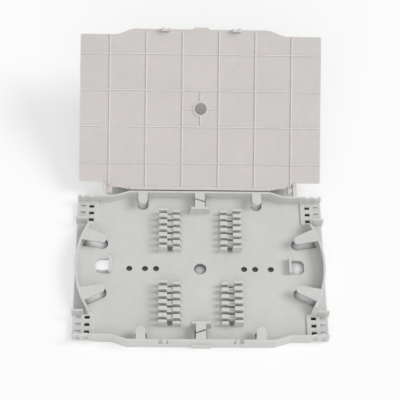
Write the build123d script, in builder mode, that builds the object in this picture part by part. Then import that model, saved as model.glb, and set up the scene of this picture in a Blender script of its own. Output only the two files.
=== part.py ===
from build123d import *
import os
from math import cos, radians, sin

# Fibre splice tray with a hinged cover, shown open.
# Millimetres, +X to the right, +Y to the hinge side, +Z up.
# The origin is on the axis of the centre hole, on the surface that the tray stands on.

# Tray outline
tray_width = 160.0
corner_depth = 100.2
centre_depth = 107.0
ramp_start = 46.0
ramp_end = 56.0
ramp_fillet = 9.0
corner_fillet = 1.0

# Tray walls and floor
tray_height = 10.0
wall = 1.2
floor = 1.6
skirt = 1.0
end_wall = 1.4
end_wall_radius = 63.0
end_wall_slope_start = 29.4

# Corner pads, where the tubes come in and are tied down
pad_width = 13.4
pad_raise = 1.0
pad_edge = 33.0
pad_tip = 29.7
pad_rib = 1.2
pad_rib_start = 6.5
pad_rib_overhang = 0.6
tie_slot_length = 3.3
tie_slot_width = 2.2
tie_row_pitch = 5.0
tie_column_pitch = 5.5
tie_first_row = 35.0
tie_first_column = 3.5
tie_rows = 3
tie_groove_radius = 1.7
tie_groove_shift = 0.8
tie_groove_wall = 0.7

# Flat parts that hold the fibre down, each over a window in the floor
tab_thickness = 1.4
window_margin = 0.7
fin_window_margin = 1.2
fin_root_far = (6.6, 25.9)
fin_root_near = (3.6, 17.4)
fin_tip_in = 19.3
fin_tip_far = 19.5
fin_tip_near = 14.6
fin_tip_round = 2.3
wall_tab_x = 37.4
wall_tab_width = 6.0
wall_tab_end = 43.9

# Split T bridges in the middle of the far and near walls
stem_width = 6.4
head_width = 11.6
head_foot = 13.8
head_face = 40.2
head_thickness = 1.5
slit_width = 1.2
slit_near_wall = 48.4
slit_near_head = 45.2

# Comb blocks for the splice sleeves
comb_centre = 26.25
comb_pitch = 4.7
comb_slots = 6
comb_slot_width = 2.1
comb_end_tooth = 1.7
root_embed = 0.2
comb_toe = 0.2
outer_column = (21.3, 26.6)
inner_column = (13.1, 17.5)
inner_column_foot = 1.1
outer_column_drop = 0.4
inner_column_drop = 2.4
web_drop = 3.5
web_width = 2.9
channel_slot_width = 3.2

# Holes on the centre line
centre_hole_radius = 4.0
small_hole_radius = 2.0
small_hole_places = (28.3, 35.4, 45.5)
end_slot_inner = 21.4
end_slot_outer = 12.9
end_slot_length = 10.2
end_slot_centre = 1.5
end_slot_round = 3.4
end_post_thickness = 1.5
end_post_height = 4.0
end_post_margin = 0.4

# Latches
latch_x = 23.4
latch_notch_width = 6.0
latch_notch_depth = 5.2
latch_post_width = 2.2
latch_post_shift = -0.7
lip_width = 12.0
tray_lip = 0.8
tray_lip_height = 5.2

# Hinge
open_angle = 150.0
axis_beyond_wall = 0.5
axis_below_rim = 0.1
pin_radius = 1.45
pin_clearance = 0.05
hook_wall = 1.15
hook_width = 2.9
hook_mouth = 2.4
hook_root_start = 0.9
hook_root_end = 3.3
hook_side_gap = 0.3
pin_end_gap = 0.3
lug_thickness = 2.7
lug_beyond_ramp = 5.2
lug_root_drop = 6.4
lug_crown = 3.0
lug_crown_front = 2.2
lug_crown_back = 1.5
lug_crown_slope = 0.4
stop_gap = 0.1
stop_play = 0.05
stop_reach = 2.8
stop_thickness = 1.5
stop_slope = 0.6

# Cover
cover_thickness = 1.6
cover_margin = 0.9
cover_corner_margin = 1.5
cover_hinge_margin = 1.3
cover_side_margin = 0.5
cover_rim_gap = 0.15
cover_ramp_fillet = 14.0
rib_height = 0.6
rib_width = 0.7
rib_pitch = 24.0
rib_columns = 6
rib_rows = 4
boss_wall = 1.1
spoke_length = 6.0
free_band = 2.1
free_band_step = 0.3
cover_lip = 1.3
cover_lip_width = 8.6
lip_slope = 1.5
clip_side_gap = 0.3
clip_post_gap = 0.15
clip_back = 1.2
clip_wall_gap = 0.4
clip_grip = 0.9
clip_height = 3.2

# How far a cutting shape stands out past what it cuts
cut_over = 1.0

# Sizes that follow from the ones above
half_width = tray_width / 2
corner_y = corner_depth / 2
centre_y = centre_depth / 2
floor_top = skirt + floor
pad_top = floor_top + pad_raise
pad_bottom = pad_top - floor
pad_inner = half_width - pad_width
end_centre_x = half_width - end_wall_radius
lug_place = ramp_end + lug_beyond_ramp
slot_inner_x = half_width - end_slot_inner
slot_outer_x = half_width - end_slot_outer
tie_columns = [half_width - tie_first_column - i * tie_column_pitch for i in (0, 1)]
tab_bottom = tray_height - tab_thickness
axis_y = centre_y + axis_beyond_wall
axis_z = tray_height - axis_below_rim
comb_length = (comb_slots - 1) * comb_pitch + comb_slot_width + 2 * comb_end_tooth
tilt = radians(180.0 - open_angle)
SIDES = (-1, 1)


def depth_line(inset, side):
    """Points of the far (side 1) or near (side -1) edge, from left to right."""
    corner = side * (corner_y - inset)
    centre = side * (centre_y - inset)
    return [
        (-half_width, corner),
        (-ramp_end, corner),
        (-ramp_start, centre),
        (ramp_start, centre),
        (ramp_end, corner),
        (half_width, corner),
    ]


def long_edge_corners(vertices):
    """The vertices where the ramps of the two long edges start and end."""
    return vertices.filter_by(lambda v: abs(v.X) < ramp_end + wall)


def tray_outline():
    """Face of the whole tray seen from above."""
    with BuildSketch() as outline:
        with BuildLine():
            Polyline(depth_line(0, 1) + depth_line(0, -1)[::-1], close=True)
        make_face()
        fillet(long_edge_corners(outline.vertices()), ramp_fillet)
        outer = outline.vertices().filter_by(lambda v: abs(v.X) > half_width - 0.01)
        fillet(outer, corner_fillet)
    return outline.sketch


def long_walls_plan():
    """The far and near walls seen from above, with the tie grooves at the pads."""
    groove_y = corner_y + tie_groove_shift
    places = [(s * x, e * groove_y) for s in SIDES for e in SIDES for x in tie_columns]
    with BuildSketch() as plan:
        add(tray_outline())
        with BuildSketch(mode=Mode.SUBTRACT) as inside:
            with BuildLine():
                inner = depth_line(wall, 1) + depth_line(wall, -1)[::-1]
                Polyline(inner, close=True)
            make_face()
            fillet(long_edge_corners(inside.vertices()), ramp_fillet)
        with Locations(*places):
            Circle(tie_groove_radius + tie_groove_wall)
        add(tray_outline(), mode=Mode.INTERSECT)
        with Locations(*places):
            Circle(tie_groove_radius, mode=Mode.SUBTRACT)
    return plan.sketch


def end_wall_x(radius, y):
    """Distance from the middle of an arc round the end wall's centre, at y in plan."""
    return end_centre_x + (radius**2 - y**2) ** 0.5


def end_wall_plan(side):
    """One curved end wall seen from above."""
    reach = half_width - end_centre_x
    with BuildSketch() as plan:
        with Locations((side * end_centre_x, 0)):
            Circle(end_wall_radius)
            Circle(end_wall_radius - end_wall, mode=Mode.SUBTRACT)
        with Locations((side * (end_centre_x + reach / 2), 0)):
            Rectangle(reach + wall, 2 * pad_edge, mode=Mode.INTERSECT)
    return plan.sketch


def pad_plan(side, end):
    """One corner pad seen from above, with the slanted tip that meets the end wall."""
    with BuildSketch() as plan:
        with BuildLine():
            Polyline(
                (side * pad_inner, end * corner_y),
                (side * pad_inner, end * pad_edge),
                (side * end_wall_x(end_wall_radius - end_wall, pad_tip), end * pad_tip),
                (side * end_wall_x(end_wall_radius - end_wall / 2, pad_edge), end * pad_edge),
                (side * half_width, end * pad_edge),
                (side * half_width, end * corner_y),
                close=True,
            )
        make_face()
        add(tray_outline(), mode=Mode.INTERSECT)
    return plan.sketch


def fin_plan(side, end, margin=0.0):
    """One fin seen from above, or its floor window when a margin is given."""
    tip_x = half_width - fin_tip_in
    with BuildSketch() as plan:
        with BuildLine():
            Polyline(
                (side * (half_width - fin_root_far[0]), end * fin_root_far[1]),
                (side * tip_x, end * fin_tip_far),
                (side * tip_x, end * fin_tip_near),
                (side * (half_width - fin_root_near[0]), end * fin_root_near[1]),
                close=True,
            )
        make_face()
        tips = plan.vertices().filter_by(lambda v: abs(v.X) < tip_x + 0.01)
        fillet(tips, fin_tip_round)
        if margin > 0:
            offset(amount=margin)
            with Locations((side * end_centre_x, 0)):
                Circle(end_wall_radius - end_wall - window_margin / 2, mode=Mode.INTERSECT)
    return plan.sketch


def tongue_plan(x, end, tip, width):
    """A tongue with a round end, reaching from a long wall towards the middle."""
    root = centre_y - wall / 2
    radius = width / 2
    with BuildSketch() as plan:
        with Locations((x, end * (tip + radius + root) / 2)):
            Rectangle(width, root - tip - radius)
        with Locations((x, end * (tip + radius))):
            Circle(radius)
    return plan.sketch


def open_point(along, out):
    """Y and Z of a point of the open cover: its distance from the hinge axis along the
    cover, and out of its inner face."""
    return (
        axis_y + along * cos(tilt) - out * sin(tilt),
        axis_z + along * sin(tilt) + out * cos(tilt),
    )


def comb_places():
    """Middle of each slot of one comb, along the comb."""
    first = comb_centre - (comb_slots - 1) * comb_pitch / 2
    return [first + i * comb_pitch for i in range(comb_slots)]


def comb_teeth(column):
    """The teeth of one column of all four combs, seen from above."""
    half = comb_slot_width / 2
    slots = comb_places()
    edges = [(comb_centre - comb_length / 2, slots[0] - half)]
    edges += [(y + half, y + comb_pitch - half) for y in slots[:-1]]
    edges += [(slots[-1] + half, comb_centre + comb_length / 2)]
    low_x, high_x = column
    with BuildSketch() as teeth:
        for low, high in edges:
            places = [
                (s * (low_x + high_x) / 2, e * (low + high) / 2) for s in SIDES for e in SIDES
            ]
            with Locations(*places):
                Rectangle(high_x - low_x, high - low)
    return teeth.sketch


# Tray
with BuildPart() as tray:
    # Floor
    with BuildSketch(Plane.XY.offset(skirt)):
        add(tray_outline())
    extrude(amount=floor)

    # Corner pads, raised so that the ties can pass below them
    pad_length = corner_y - pad_edge
    under_inner = pad_inner + floor
    under_width = half_width - under_inner
    corners = [(side, end) for side in SIDES for end in SIDES]
    with BuildSketch(Plane.XY):
        for side, end in corners:
            with Locations(
                (side * (under_inner + under_width / 2), end * (pad_edge + pad_length / 2))
            ):
                Rectangle(under_width, pad_length)
    extrude(amount=pad_bottom, mode=Mode.SUBTRACT)
    with BuildSketch(Plane.XY.offset(pad_bottom)):
        for side, end in corners:
            add(pad_plan(side, end))
    extrude(amount=floor)

    # Long walls, standing on the surface between the pads
    with BuildSketch(Plane.XY.offset(pad_bottom)):
        add(long_walls_plan())
    extrude(amount=tray_height - pad_bottom)
    with BuildSketch(Plane.XY):
        add(long_walls_plan())
        Rectangle(2 * under_inner, tray_width, mode=Mode.INTERSECT)
    extrude(amount=pad_bottom)

    # Curved end walls, whose ends slope down to the pads
    with BuildSketch(Plane.XY.offset(skirt)):
        for side in SIDES:
            add(end_wall_plan(side))
    extrude(amount=tray_height - skirt)
    slope_width = 3 * end_wall
    slope_middle = end_wall_x(end_wall_radius - end_wall / 2, end_wall_slope_start)
    for side in SIDES:
        with BuildSketch(Plane.YZ.offset(side * (slope_middle - slope_width))):
            for end in SIDES:
                with BuildLine():
                    Polyline(
                        (end * end_wall_slope_start, tray_height),
                        (end * end_wall_slope_start, tray_height + cut_over),
                        (end * (pad_edge + cut_over), tray_height + cut_over),
                        (end * (pad_edge + cut_over), pad_top),
                        (end * pad_edge, pad_top),
                        close=True,
                    )
                make_face()
        extrude(amount=side * 2 * slope_width, mode=Mode.SUBTRACT)

    # Short ribs that close the pads towards the ends
    rib_inner = half_width - pad_rib_start
    rib_length = pad_rib_start + pad_rib_overhang
    with BuildSketch(Plane.XY.offset(pad_bottom)):
        with Locations(*[(s * (rib_inner + rib_length / 2), e * pad_edge) for s, e in corners]):
            Rectangle(rib_length, pad_rib)
    extrude(amount=tray_height - pad_bottom)

    # Fins, wall tabs and the stems of the bridges, flush with the rim
    with BuildSketch(Plane.XY.offset(tab_bottom)):
        for end in SIDES:
            for side in SIDES:
                add(fin_plan(side, end))
                add(tongue_plan(side * wall_tab_x, end, wall_tab_end, wall_tab_width))
            stem_root = centre_y - wall / 2
            with Locations((0, end * (stem_root + head_face) / 2)):
                Rectangle(stem_width, stem_root - head_face)
    extrude(amount=tab_thickness)

    # Windows in the floor below the fins, tabs and stems
    with BuildSketch(Plane.XY.offset(skirt)):
        window_end = centre_y - wall
        for end in SIDES:
            for side in SIDES:
                add(fin_plan(side, end, margin=fin_window_margin))
                window_tip = wall_tab_end - window_margin
                window_width = wall_tab_width + 2 * window_margin
                add(tongue_plan(side * wall_tab_x, end, window_tip, window_width))
            stem_window = head_face + head_thickness + window_margin
            with Locations((0, end * (window_end + stem_window) / 2)):
                Rectangle(stem_width + 2 * window_margin, window_end - stem_window)
        Rectangle(tray_width, 2 * window_end, mode=Mode.INTERSECT)
    extrude(amount=floor, mode=Mode.SUBTRACT)

    # Heads of the bridges, which stand on the floor and are wider at the foot
    for end in SIDES:
        with BuildSketch(Plane.XZ.offset(-end * head_face)):
            with BuildLine():
                Polyline(
                    (-head_foot / 2, floor_top - root_embed),
                    (-head_width / 2, tray_height),
                    (head_width / 2, tray_height),
                    (head_foot / 2, floor_top - root_embed),
                    close=True,
                )
            make_face()
        extrude(amount=-end * head_thickness)

    # Slanted slits that split the stems, so that a fibre can be laid in from above
    with BuildSketch(Plane.XY.offset(tab_bottom - cut_over)):
        reach = stem_width / 2 + cut_over
        for end in SIDES:
            with BuildLine():
                Polyline(
                    (-reach, end * (slit_near_wall - slit_width / 2)),
                    (-reach, end * (slit_near_wall + slit_width / 2)),
                    (reach, end * (slit_near_head + slit_width / 2)),
                    (reach, end * (slit_near_head - slit_width / 2)),
                    close=True,
                )
            make_face()
    extrude(amount=tab_thickness + 2 * cut_over, mode=Mode.SUBTRACT)

    # Slot in the floor between the two columns of each comb
    channel_x = (outer_column[0] + inner_column[1]) / 2
    with BuildSketch(Plane.XY.offset(skirt)):
        with Locations(*[(s * channel_x, e * comb_centre) for s in SIDES for e in SIDES]):
            SlotOverall(comb_length - comb_end_tooth, channel_slot_width, rotation=90)
    extrude(amount=floor, mode=Mode.SUBTRACT)

    # Combs: outer column, lower inner column with a sloped foot, and webs across
    outer_top = tray_height - outer_column_drop
    inner_top = tray_height - inner_column_drop
    web_top = tray_height - web_drop
    foot_start = inner_column[0] - inner_column_foot
    root = floor_top - root_embed
    with BuildSketch(Plane.XY.offset(root)):
        add(comb_teeth(outer_column))
    extrude(amount=outer_top - root)
    with BuildSketch(Plane.XY.offset(root)):
        add(comb_teeth((foot_start, inner_column[1])))
    extrude(amount=inner_top - root)
    with BuildSketch(Plane.XZ):
        with BuildLine():
            Polyline(
                (foot_start, floor_top + comb_toe),
                (inner_column[0], inner_top),
                (inner_column[0], inner_top + cut_over),
                (foot_start - cut_over, inner_top + cut_over),
                (foot_start - cut_over, floor_top + comb_toe),
                close=True,
            )
        make_face()
        mirror(about=Plane.YZ)
    extrude(amount=comb_centre + comb_length / 2 + cut_over, both=True, mode=Mode.SUBTRACT)
    webs = [
        (side * channel_x, end * (y + comb_pitch / 2))
        for y in comb_places()[:-1]
        for end in SIDES
        for side in SIDES
    ]
    with BuildSketch(Plane.XY.offset(floor_top)):
        with Locations(*webs):
            Rectangle(outer_column[0] - inner_column[1] + 2 * root_embed, web_width)
    extrude(amount=web_top - floor_top)

    # Round holes on the centre line
    with BuildSketch(Plane.XY.offset(skirt)):
        Circle(centre_hole_radius)
        with Locations(*[(s * x, 0) for s in SIDES for x in small_hole_places]):
            Circle(small_hole_radius)
    extrude(amount=floor, mode=Mode.SUBTRACT)

    # End slots, straight at the inner side and rounded at the outer side
    with BuildSketch(Plane.XY.offset(skirt)) as end_slots:
        slot_width = slot_outer_x - slot_inner_x
        slot_places = [(s * (slot_inner_x + slot_width / 2), end_slot_centre) for s in SIDES]
        with Locations(*slot_places):
            Rectangle(slot_width, end_slot_length)
        outer = end_slots.vertices().filter_by(lambda v: abs(v.X) > slot_outer_x - 0.01)
        fillet(outer, end_slot_round)
    extrude(amount=floor, mode=Mode.SUBTRACT)

    # Upright at the straight side of each end slot
    with BuildSketch(Plane.XY.offset(floor_top)):
        post_x = slot_inner_x - end_post_thickness / 2
        with Locations(*[(s * post_x, end_slot_centre) for s in SIDES]):
            Rectangle(end_post_thickness, end_slot_length + 2 * end_post_margin)
    extrude(amount=end_post_height)

    # Tie slots through the pads
    with BuildSketch(Plane.XY.offset(pad_bottom)):
        tie_places = [
            (s * x, e * (tie_first_row + row * tie_row_pitch))
            for s, e in corners
            for x in tie_columns
            for row in range(tie_rows)
        ]
        with Locations(*tie_places):
            Rectangle(tie_slot_length, tie_slot_width)
    extrude(amount=floor, mode=Mode.SUBTRACT)

    # Latch seats: a notch in the near wall with a post left standing in it
    near_face = -centre_y + wall / 2
    notch_bottom = tray_height - latch_notch_depth
    with BuildSketch(Plane.XY.offset(notch_bottom)):
        with Locations(*[(s * latch_x, near_face) for s in SIDES]):
            Rectangle(latch_notch_width, wall + cut_over)
        with Locations(*[(s * (latch_x + latch_post_shift), near_face) for s in SIDES]):
            Rectangle(latch_post_width, wall + cut_over, mode=Mode.SUBTRACT)
    extrude(amount=latch_notch_depth, mode=Mode.SUBTRACT)

    # Thumb lip low on the near wall
    with BuildSketch(Plane.XY):
        with Locations((0, -centre_y + wall / 2)):
            Rectangle(lip_width, tray_lip + wall / 2, align=(Align.CENTER, Align.MAX))
    extrude(amount=tray_lip_height)

    # Hinge lugs behind the far wall, each with a stub pin that points to the middle.
    # A nose below the open cover stops it.
    edge_t = axis_y - (corner_y - cover_corner_margin) - stop_gap
    inner_face = cover_rim_gap + rib_height + axis_below_rim
    rest_face = inner_face + cover_thickness + stop_play
    lug_root = corner_y - wall / 4
    for side in SIDES:
        with BuildSketch(Plane.YZ.offset(side * lug_place)):
            with BuildLine():
                Polyline(
                    (lug_root, axis_z - lug_root_drop),
                    (lug_root, tray_height),
                    (axis_y - lug_crown_front, axis_z + lug_crown - lug_crown_slope),
                    (axis_y + lug_crown_back, axis_z + lug_crown),
                    open_point(edge_t, -inner_face),
                    open_point(edge_t, -rest_face),
                    open_point(edge_t + stop_reach, -rest_face),
                    open_point(edge_t + stop_reach - stop_slope, -rest_face - stop_thickness),
                    close=True,
                )
            make_face()
        extrude(amount=side * lug_thickness)
        with BuildSketch(Plane.YZ.offset(side * lug_place)):
            with Locations((axis_y, axis_z)):
                Circle(pin_radius)
        extrude(amount=-side * (hook_side_gap + hook_width + pin_end_gap))

tray.part.label = "tray"


def cover_outline():
    """Face of the cover, with x along the hinge and y away from the hinge axis."""
    near_corner = axis_y - (corner_y - cover_corner_margin)
    near_centre = axis_y - (centre_y - cover_hinge_margin)
    far_corner = axis_y + corner_y - cover_corner_margin
    far_centre = axis_y + centre_y - cover_margin
    far_lip = far_centre + cover_lip
    step = lug_place - hook_side_gap
    cover_half = half_width - cover_side_margin
    lip_half = cover_lip_width / 2
    right = [
        (step, near_centre),
        (step, near_corner),
        (cover_half, near_corner),
        (cover_half, far_corner),
        (ramp_end - cover_margin, far_corner),
        (ramp_start - cover_margin, far_centre),
        (lip_half + lip_slope, far_centre),
        (lip_half, far_lip),
    ]
    left = [(-x, y) for x, y in right[::-1]]
    with BuildSketch() as outline:
        with BuildLine():
            Polyline(right + left, close=True)
        make_face()
        soft = outline.vertices().filter_by(
            lambda v: v.Y > far_corner - 1.0 and lip_width < abs(v.X) < ramp_end
        )
        fillet(soft, cover_ramp_fillet)
        corners = outline.vertices().filter_by(lambda v: abs(v.X) > cover_half - 0.01)
        fillet(corners, corner_fillet)
        lip_corners = outline.vertices().filter_by(lambda v: v.Y > far_lip - 0.01)
        fillet(lip_corners, corner_fillet)
    return outline.sketch


# Cover, modelled where it stands: its plane turns about the hinge axis
cover_plane = Plane(
    origin=(0, axis_y, axis_z), x_dir=(1, 0, 0), z_dir=(0, -sin(tilt), cos(tilt))
)
plate_inner = -(cover_rim_gap + rib_height + axis_below_rim)
plate_outer = plate_inner - cover_thickness
rib_top = plate_inner + rib_height
with BuildPart() as cover:
    with BuildSketch(cover_plane.offset(plate_outer)):
        add(cover_outline())
    extrude(amount=cover_thickness)

    # Grid of low ribs on the inner face, centred on the hole
    grid_half_x = (rib_columns - 1) * rib_pitch / 2
    grid_half_y = (rib_rows - 1) * rib_pitch / 2
    with BuildSketch(cover_plane.offset(plate_inner)):
        for i in range(rib_columns):
            with Locations((i * rib_pitch - grid_half_x, axis_y)):
                Rectangle(rib_width, 2 * centre_depth)
        for i in range(rib_rows):
            with Locations((0, axis_y + i * rib_pitch - grid_half_y)):
                Rectangle(tray_width, rib_width)
        add(cover_outline(), mode=Mode.INTERSECT)
    extrude(amount=rib_height)

    # Lower band along the free edge, where the ribs stop
    with BuildSketch(cover_plane.offset(plate_inner - free_band_step)):
        with Locations((0, axis_y + centre_y - cover_margin)):
            Rectangle(2 * ramp_start, 2 * free_band)
    extrude(amount=free_band_step + rib_height, mode=Mode.SUBTRACT)

    # Ring and four short spokes round the centre hole, and a rib along the hinge edge
    ring_radius = centre_hole_radius + boss_wall
    with BuildSketch(cover_plane.offset(plate_inner)):
        with Locations((0, axis_y)):
            Circle(ring_radius)
            Rectangle(rib_width, 2 * (ring_radius + spoke_length))
            Rectangle(2 * (ring_radius + spoke_length), rib_width)
        edge_y = axis_y - (centre_y - cover_hinge_margin)
        with Locations((0, edge_y + rib_width / 2)):
            Rectangle(2 * ramp_start, rib_width)
    extrude(amount=rib_height)
    with BuildSketch(cover_plane.offset(plate_outer)):
        with Locations((0, axis_y)):
            Circle(centre_hole_radius)
    extrude(amount=cover_thickness + rib_height, mode=Mode.SUBTRACT)

    # Latch clips: a block behind each post of the near wall, with two cheeks that
    # reach into the notch and grip the post
    wall_inner_y = axis_y + centre_y - wall
    clip_front = wall_inner_y - clip_wall_gap
    clip_width = latch_notch_width - 2 * clip_side_gap
    clip_end = clip_front + clip_wall_gap + clip_grip
    clip_foot = plate_inner - free_band_step
    with BuildSketch(cover_plane.offset(clip_foot - root_embed)):
        for side in SIDES:
            with Locations((side * latch_x, clip_front - clip_back / 2)):
                Rectangle(clip_width, clip_back)
    extrude(amount=clip_height + root_embed)
    with BuildSketch(cover_plane.offset(clip_foot)):
        for side in SIDES:
            with Locations((side * latch_x, (clip_front - clip_back + clip_end) / 2)):
                Rectangle(clip_width, clip_end - clip_front + clip_back)
            with Locations((side * (latch_x + latch_post_shift), clip_front + clip_grip)):
                Rectangle(
                    latch_post_width + 2 * clip_post_gap, 2 * clip_grip, mode=Mode.SUBTRACT
                )
    extrude(amount=clip_height)

    # Open hooks that snap on to the pins
    hook_bore = pin_radius + pin_clearance
    hook_radius = hook_bore + hook_wall
    hook_start = lug_place - hook_side_gap - hook_width
    for side in SIDES:
        hook_plane = Plane(
            origin=cover_plane.from_local_coords(Vector(side * hook_start, 0, 0)),
            x_dir=cover_plane.y_dir,
            z_dir=cover_plane.x_dir,
        )
        with BuildSketch(hook_plane):
            Circle(hook_radius)
            with Locations(((hook_root_start + hook_root_end) / 2, (plate_outer + rib_top) / 2)):
                Rectangle(hook_root_end - hook_root_start, rib_top - plate_outer)
            Circle(hook_bore, mode=Mode.SUBTRACT)
            with Locations((-hook_radius, 0)):
                Rectangle(2 * hook_radius, hook_mouth, mode=Mode.SUBTRACT)
        extrude(amount=side * hook_width)

cover.part.label = "cover"

os.makedirs("parts", exist_ok=True)
for piece in (tray.part, cover.part):
    export_step(piece, f"parts/{piece.label}.step")
    box = piece.bounding_box()
    print(piece.label, len(piece.solids()), round(piece.volume / 1000, 2), "cm3", box)
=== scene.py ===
from math import cos, radians, sin

import bmesh
import bpy
from mathutils import Matrix, Vector


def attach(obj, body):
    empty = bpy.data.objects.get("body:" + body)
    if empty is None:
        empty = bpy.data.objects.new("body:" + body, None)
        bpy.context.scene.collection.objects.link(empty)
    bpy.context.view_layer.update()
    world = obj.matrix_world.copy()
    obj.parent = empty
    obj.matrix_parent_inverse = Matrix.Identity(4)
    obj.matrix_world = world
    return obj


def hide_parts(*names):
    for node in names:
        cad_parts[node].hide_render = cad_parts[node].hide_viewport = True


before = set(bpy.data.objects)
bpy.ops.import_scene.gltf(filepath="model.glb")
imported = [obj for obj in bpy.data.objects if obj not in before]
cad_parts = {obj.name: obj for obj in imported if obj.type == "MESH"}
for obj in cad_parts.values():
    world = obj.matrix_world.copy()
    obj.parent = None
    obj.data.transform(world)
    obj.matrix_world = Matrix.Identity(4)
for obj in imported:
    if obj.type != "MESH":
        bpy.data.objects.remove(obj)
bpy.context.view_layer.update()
mm = 0.001

# Camera: where the photograph was taken from
view_azimuth = radians(-3.96)
view_elevation = radians(59.64)
view_roll = radians(4.03)
view_distance = 0.807
view_target = Vector((0.00047, 0.05267, 0.0))
view_nearest = 0.01
sensor_mm = 36.0
focal_px = 1211.81
image_px = 400.0

# Hinge axis, the open cover's tilt, and the straight part of its hinge edge: half its
# length, where its slanted ends stop, how far the CAD edge is from the axis and how much
# closer to the tray's wall it is brought
hinge_axis = Vector((0, 0.054, 0.0099))
cover_tilt = radians(30.0)
hinge_edge_half = 0.046
hinge_edge_end = 0.053
hinge_edge = 0.0018
hinge_edge_move = 0.0014
snap = 0.01 * mm
weld = 0.001 * mm
sharp_angle = radians(40.0)

# Moulded plastic: how fine each pattern is, and how rough the finer ones are
refraction = 1.53
flow_scale = 28
cloud_scale = 160
wave_scale = 60
grain_scale = 1900
speck_scale = 2600
fine_roughness = 0.6

# Moulded plastic: the range that each value is read over, and how much it does
tone_range = (0.7, 1.3)
darker_tone = 0.955
lighter_tone = 1.03
speck_range = (0.68, 0.76)
speck_strength = 0.12
speck_tone = 0.6
# Painted highlight on edges and on thin ribs and rims, in patches
edge_radius = 0.4 * mm
edge_samples = 6
edge_range = (0.985, 0.80)
edge_strength = 0.9
thin_distance = 0.8 * mm
thin_range = (0.8, 0.3)
thin_strength = 0.8
highlight_patch_range = (0.3, 0.7)
highlight_patch_strength = (0.7, 1.0)
# Painted shade in hollows
hollow_distance = 7.0 * mm
hollow_range = (0.85, 0.3)
hollow_strength = 0.2
shade_samples = 8
rough_range = (0.3, 0.9)
rough_finish = (0.40, 0.54)
grain_share = 0.12
bump_strength = 0.35
bump_height = 0.12 * mm

# Colours of the two mouldings: flat faces, the painted highlight on edges and the painted shade in
# hollows
tray_colours = ((0.60, 0.595, 0.58), (0.84, 0.84, 0.825), (0.36, 0.36, 0.35))
cover_colours = ((0.555, 0.525, 0.505), (0.90, 0.875, 0.855), (0.40, 0.38, 0.37))

# Even light all round, the share of the floor that glows, and the extra glow of the painted white
# patch
ambient = 0.44
floor_glow = 0.5
white_glow = 0.45

# Floor: its size, its pale tone and the dark tone of its painted shade, and how near a thing has to
# be for that painted shade
floor_half = 3.0
floor_drop = 0.05 * mm
pale_floor = (0.97, 0.97, 0.97)
dark_floor = (0.04, 0.04, 0.04)
close_distance = 5.0 * mm
close_power = 1.7
around_distance = 0.08

# Places on the floor, where each change of tone starts and ends: painted shade below the tray and
# behind its far wall, and painted light below the comb channels, the end slots and the outer tie
# slots
below_x = (0.0785, 0.0795)
below_y = (0.047, 0.0485)
behind_x = (0.046, 0.064)
behind_y = (0.0465, 0.0485)
behind_power = 2.0
channel_inner = (0.0165, 0.0175)
channel_outer = (0.0213, 0.0223)
slot_x = (0.056, 0.057)
slot_y = (0.009, 0.011)
slot_share = 0.6
opening_share = 0.75
pad_x = (0.0735, 0.0745)
pad_y = (0.031, 0.033)
pad_power = 0.8

# Painted light: the floor below the far part of the left end slot is white
white_x = (0.0, mm)
white_y = (-0.001, 0.0005)

rising = (0.0, 1.0)
falling = (1.0, 0.0)


def make_camera():
    """The camera, at the photograph's own place, turn and focal length."""
    back = Vector(
        (
            sin(view_azimuth) * cos(view_elevation),
            -cos(view_azimuth) * cos(view_elevation),
            sin(view_elevation),
        )
    )
    right = (-back).cross(Vector((0, 0, 1))).normalized()
    up = right.cross(-back)
    across = right * cos(view_roll) + up * sin(view_roll)
    upward = -right * sin(view_roll) + up * cos(view_roll)
    data = bpy.data.cameras.new("camera")
    data.sensor_width = sensor_mm
    data.lens = focal_px * sensor_mm / image_px
    data.clip_start = view_nearest
    camera = bpy.data.objects.new("camera", data)
    bpy.context.collection.objects.link(camera)
    spot = view_target + back * view_distance
    turn = Matrix((across, upward, back)).transposed().to_4x4()
    camera.matrix_world = Matrix.Translation(spot) @ turn
    bpy.context.scene.camera = camera


def new_material(name):
    """An empty material, with its node tree and its output."""
    material = bpy.data.materials.new(name)
    material.use_nodes = True
    tree = material.node_tree
    tree.nodes.clear()
    output = tree.nodes.new("ShaderNodeOutputMaterial")
    return material, tree, output


def math_node(tree, operation, first, second=0.0):
    """A sum on two values, each a number or a socket."""
    node = tree.nodes.new("ShaderNodeMath")
    node.operation = operation
    for socket, value in zip(node.inputs, (first, second)):
        if isinstance(value, (int, float)):
            socket.default_value = value
        else:
            tree.links.new(value, socket)
    return node.outputs[0]


def product(tree, first, second):
    return math_node(tree, "MULTIPLY", first, second)


def spread(tree, value, source, target):
    """The value over the source range, carried over to the target range."""
    node = tree.nodes.new("ShaderNodeMapRange")
    tree.links.new(value, node.inputs["Value"])
    names = ("From Min", "From Max", "To Min", "To Max")
    for name, number in zip(names, (*source, *target)):
        node.inputs[name].default_value = number
    return node.outputs[0]


def noise(tree, place, scale, detail=2.0, roughness=0.5):
    node = tree.nodes.new("ShaderNodeTexNoise")
    tree.links.new(place, node.inputs["Vector"])
    node.inputs["Scale"].default_value = scale
    node.inputs["Detail"].default_value = detail
    node.inputs["Roughness"].default_value = roughness
    return node.outputs["Fac"]


def occlusion(tree, distance):
    node = tree.nodes.new("ShaderNodeAmbientOcclusion")
    node.inputs["Distance"].default_value = distance
    return node


def blend_colours(tree, factor, first, second):
    """A mix of two colours, each a tuple or a socket."""
    node = tree.nodes.new("ShaderNodeMix")
    node.data_type = "RGBA"
    tree.links.new(factor, node.inputs["Factor"])
    for socket, colour in ((node.inputs[6], first), (node.inputs[7], second)):
        if isinstance(colour, tuple):
            socket.default_value = (*colour, 1)
        else:
            tree.links.new(colour, socket)
    return node.outputs[2]


def seen_directly(tree):
    """1 for a ray from the camera, also by a reflection or through glass, or else 0."""
    path = tree.nodes.new("ShaderNodeLightPath")
    seen = math_node(tree, "ADD", path.outputs["Is Camera Ray"], path.outputs["Is Glossy Ray"])
    return math_node(tree, "ADD", seen, path.outputs["Is Transmission Ray"])


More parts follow.
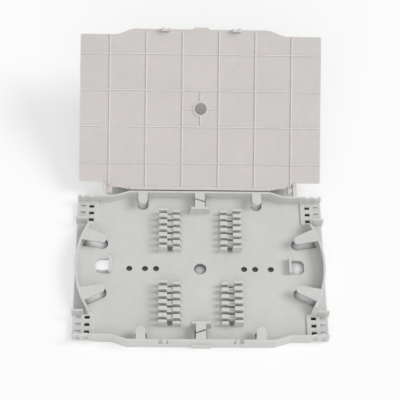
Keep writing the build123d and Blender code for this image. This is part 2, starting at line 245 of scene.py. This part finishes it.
def moulded_plastic(name, colours):
    """Grey ABS with a fine spark-eroded grain, faint flow marks, painted highlights on its edges
    and thin ribs, and painted shade in its hollows.
    """
    colour, highlight_colour, hollow_colour = colours
    material, tree, output = new_material(name)
    links = tree.links
    place = tree.nodes.new("ShaderNodeTexCoord").outputs["Object"]
    shader = tree.nodes.new("ShaderNodeBsdfPrincipled")
    shader.inputs["IOR"].default_value = refraction
    links.new(shader.outputs[0], output.inputs["Surface"])

    # Slow changes of tone from the flow of the plastic, and fine specks
    flow = noise(tree, place, flow_scale, detail=3.0)
    cloud = noise(tree, place, cloud_scale, detail=4.0, roughness=fine_roughness)
    tone = spread(tree, math_node(tree, "ADD", flow, cloud), tone_range, rising)
    darker = tuple(c * darker_tone for c in colour)
    lighter = tuple(c * lighter_tone for c in colour)
    base = blend_colours(tree, tone, darker, lighter)
    specks = noise(tree, place, speck_scale, detail=1.0)
    specks = spread(tree, specks, speck_range, (0.0, speck_strength))
    base = blend_colours(tree, specks, base, tuple(c * speck_tone for c in colour))

    # Painted highlight: edges, and thin ribs and rims, are lighter as if they caught the light
    # where the mould's corners are rounded, in patches set by noise
    bevel = tree.nodes.new("ShaderNodeBevel")
    bevel.samples = edge_samples
    bevel.inputs["Radius"].default_value = edge_radius
    normal = tree.nodes.new("ShaderNodeNewGeometry").outputs["Normal"]
    dot = tree.nodes.new("ShaderNodeVectorMath")
    dot.operation = "DOT_PRODUCT"
    links.new(bevel.outputs[0], dot.inputs[0])
    links.new(normal, dot.inputs[1])
    edge = spread(tree, dot.outputs["Value"], edge_range, (0.0, edge_strength))
    thin = occlusion(tree, thin_distance)
    thin.inside = True
    thin.samples = shade_samples
    thin = spread(tree, thin.outputs["AO"], thin_range, (0.0, thin_strength))
    edge = math_node(tree, "MAXIMUM", edge, thin)
    edge = product(tree, edge, spread(tree, cloud, highlight_patch_range, highlight_patch_strength))
    base = blend_colours(tree, edge, base, highlight_colour)

    # Corners between a wall and the floor lie deeper in shade
    hollow = occlusion(tree, hollow_distance)
    hollow.samples = shade_samples
    deep = spread(tree, hollow.outputs["AO"], hollow_range, (0.0, hollow_strength))
    base = blend_colours(tree, deep, base, hollow_colour)
    links.new(base, shader.inputs["Base Color"])

    rough = math_node(tree, "ADD", cloud, specks)
    rough = spread(tree, rough, rough_range, rough_finish)
    links.new(rough, shader.inputs["Roughness"])

    grain = noise(tree, place, grain_scale, detail=3.0, roughness=fine_roughness)
    waves = noise(tree, place, wave_scale, detail=1.0)
    height = math_node(tree, "ADD", product(tree, grain, grain_share), waves)
    bump = tree.nodes.new("ShaderNodeBump")
    bump.inputs["Strength"].default_value = bump_strength
    bump.inputs["Distance"].default_value = bump_height
    links.new(height, bump.inputs["Height"])
    links.new(bevel.outputs[0], bump.inputs["Normal"])
    links.new(bump.outputs[0], shader.inputs["Normal"])
    return material


def dress(piece, material):
    """Gives a piece its material."""
    piece.data.materials.clear()
    piece.data.materials.append(material)


def at_hinge_edge(vertex):
    """Whether a point of the open cover is on its hinge edge."""
    offset = vertex.co - hinge_axis
    along = offset.y * cos(cover_tilt) + offset.z * sin(cover_tilt)
    return abs(along - hinge_edge) < snap


def cover_plate():
    """The cover as one piece, its hinge edge brought close to the tray's far wall."""
    work = bmesh.new()
    work.from_mesh(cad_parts["cover"].data)
    bmesh.ops.remove_doubles(work, verts=work.verts, dist=weld)
    # Only the narrow faces of the hinge edge are cut, so no other face is split
    for x in (-hinge_edge_end, -hinge_edge_half, hinge_edge_half, hinge_edge_end):
        verts = [vertex for vertex in work.verts if at_hinge_edge(vertex)]
        edges = [edge for edge in work.edges if all(map(at_hinge_edge, edge.verts))]
        faces = [face for face in work.faces if all(map(at_hinge_edge, face.verts))]
        bmesh.ops.bisect_plane(
            work, geom=verts + edges + faces, dist=snap, plane_co=(x, 0, 0), plane_no=(1, 0, 0)
        )
    move = Vector((0, cos(cover_tilt), sin(cover_tilt))) * hinge_edge_move
    for vertex in work.verts:
        if at_hinge_edge(vertex) and abs(vertex.co.x) < hinge_edge_half + snap:
            vertex.co -= move
    bmesh.ops.triangulate(work, faces=[face for face in work.faces if len(face.verts) > 3])
    mesh = bpy.data.meshes.new("cover_plate")
    work.to_mesh(mesh)
    work.free()
    # The welded mesh gets its sharp edges by angle, in place of the frame's own normals
    if "custom_normal" in mesh.attributes:
        mesh.attributes.remove(mesh.attributes["custom_normal"])
    mesh.set_sharp_from_angle(angle=sharp_angle)
    piece = bpy.data.objects.new("cover_plate", mesh)
    bpy.context.collection.objects.link(piece)
    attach(piece, "cover")
    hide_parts("cover")
    return piece


def floor_places(tree):
    """Where the floor gets painted shade close to things, how strongly painted shade dims
    its glow, and where it is painted white. Each depends on the place alone."""
    place = tree.nodes.new("ShaderNodeTexCoord").outputs["Object"]
    apart = tree.nodes.new("ShaderNodeSeparateXYZ")
    tree.links.new(place, apart.inputs[0])
    x, y = apart.outputs["X"], apart.outputs["Y"]
    x_out = math_node(tree, "ABSOLUTE", x)
    y_out = math_node(tree, "ABSOLUTE", y)

    # Painted shade below the tray, and behind its far wall
    below = product(
        tree, spread(tree, x_out, below_x, falling), spread(tree, y_out, below_y, falling)
    )
    behind = product(
        tree, spread(tree, x_out, behind_x, falling), spread(tree, y, behind_y, rising)
    )
    shade_power = math_node(tree, "ADD", below, product(tree, behind, behind_power))

    # Painted light below the channels of the combs and the end slots, and painted white below the
    # left one
    channel = product(
        tree,
        spread(tree, x_out, channel_inner, rising),
        spread(tree, x_out, channel_outer, falling),
    )
    slots = product(
        tree, spread(tree, x_out, slot_x, rising), spread(tree, y_out, slot_y, falling)
    )
    slots = product(tree, slots, below)
    white = product(
        tree, spread(tree, y, white_y, rising), spread(tree, x, white_x, falling)
    )
    white = product(tree, white, slots)
    slots = math_node(tree, "MAXIMUM", product(tree, slots, slot_share), white)
    shade_power = math_node(tree, "SUBTRACT", shade_power, white)
    lighter = product(tree, math_node(tree, "MAXIMUM", channel, slots), opening_share)

    # Painted light below the outer tie slots of the pads
    pads = product(
        tree, spread(tree, x_out, pad_x, rising), spread(tree, y_out, pad_y, rising)
    )
    pads = product(tree, pads, below)
    lighter = math_node(tree, "MAXIMUM", lighter, pads)
    shade_power = math_node(tree, "SUBTRACT", shade_power, product(tree, pads, pad_power))
    below = product(tree, below, math_node(tree, "SUBTRACT", 1.0, lighter))
    return below, shade_power, white


def make_floor():
    """A plain pale floor, just short of white, that keeps the object's shadow. What shows
    through the object's openings has its tones set by place: painted shade below and behind
    the tray, and painted light below the openings."""
    material, tree, output = new_material("floor")
    below, shade_power, white = floor_places(tree)
    # Painted shade: the floor turns dark close to things, below the tray
    close = occlusion(tree, close_distance)
    open_part = math_node(tree, "POWER", close.outputs["AO"], close_power)
    deep = product(tree, math_node(tree, "SUBTRACT", 1.0, open_part), below)
    pale = blend_colours(tree, deep, pale_floor, dark_floor)
    diffuse = tree.nodes.new("ShaderNodeBsdfDiffuse")
    tree.links.new(pale, diffuse.inputs["Color"])
    # Painted shade: the floor's glow is dimmed by occlusion, by a power set by place
    around = occlusion(tree, around_distance)
    glow = tree.nodes.new("ShaderNodeEmission")
    tree.links.new(pale, glow.inputs["Color"])
    shaded = math_node(tree, "POWER", around.outputs["AO"], shade_power)
    tree.links.new(shaded, glow.inputs["Strength"])
    # Painted light: more glow where the floor is painted white
    glow_share = math_node(tree, "ADD", product(tree, white, white_glow), floor_glow)
    choose = tree.nodes.new("ShaderNodeMixShader")
    tree.links.new(product(tree, seen_directly(tree), glow_share), choose.inputs[0])
    tree.links.new(diffuse.outputs[0], choose.inputs[1])
    tree.links.new(glow.outputs[0], choose.inputs[2])
    tree.links.new(choose.outputs[0], output.inputs["Surface"])
    mesh = bpy.data.meshes.new("floor")
    corners = [(x * floor_half, y * floor_half, 0) for x, y in ((-1, -1), (1, -1), (1, 1), (-1, 1))]
    mesh.from_pydata(corners, [], [(0, 1, 2, 3)])
    floor = bpy.data.objects.new("floor", mesh)
    bpy.context.collection.objects.link(floor)
    floor.location.z = -floor_drop
    mesh.materials.append(material)


def make_world():
    """White behind the object, and plain even light on it."""
    world = bpy.data.worlds.new("world")
    bpy.context.scene.world = world
    world.use_nodes = True
    tree = world.node_tree
    tree.nodes.clear()
    output = tree.nodes.new("ShaderNodeOutputWorld")
    background = tree.nodes.new("ShaderNodeBackground")
    strength = spread(tree, seen_directly(tree), rising, (ambient, 1.0))
    background.inputs["Color"].default_value = (1, 1, 1, 1)
    tree.links.new(strength, background.inputs["Strength"])
    tree.links.new(background.outputs[0], output.inputs["Surface"])


def soft_light(name, place, degrees, strength):
    """A distant soft lamp, so many degrees wide, that shines from a place to the object."""
    data = bpy.data.lights.new(name, "SUN")
    data.angle = radians(degrees)
    data.energy = strength
    light = bpy.data.objects.new(name, data)
    bpy.context.collection.objects.link(light)
    light.location = place
    light.rotation_euler = (-Vector(place)).to_track_quat("-Z", "Y").to_euler()


make_camera()
dress(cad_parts["tray"], moulded_plastic("tray_plastic", tray_colours))
dress(cover_plate(), moulded_plastic("cover_plastic", cover_colours))
make_floor()
make_world()
soft_light("key", place=(1.0, 0.05, 0.9), degrees=28, strength=1.6)
soft_light("front", place=(-0.1, -1.0, 0.9), degrees=60, strength=1.0)
bpy.context.scene.view_settings.view_transform = "Standard"
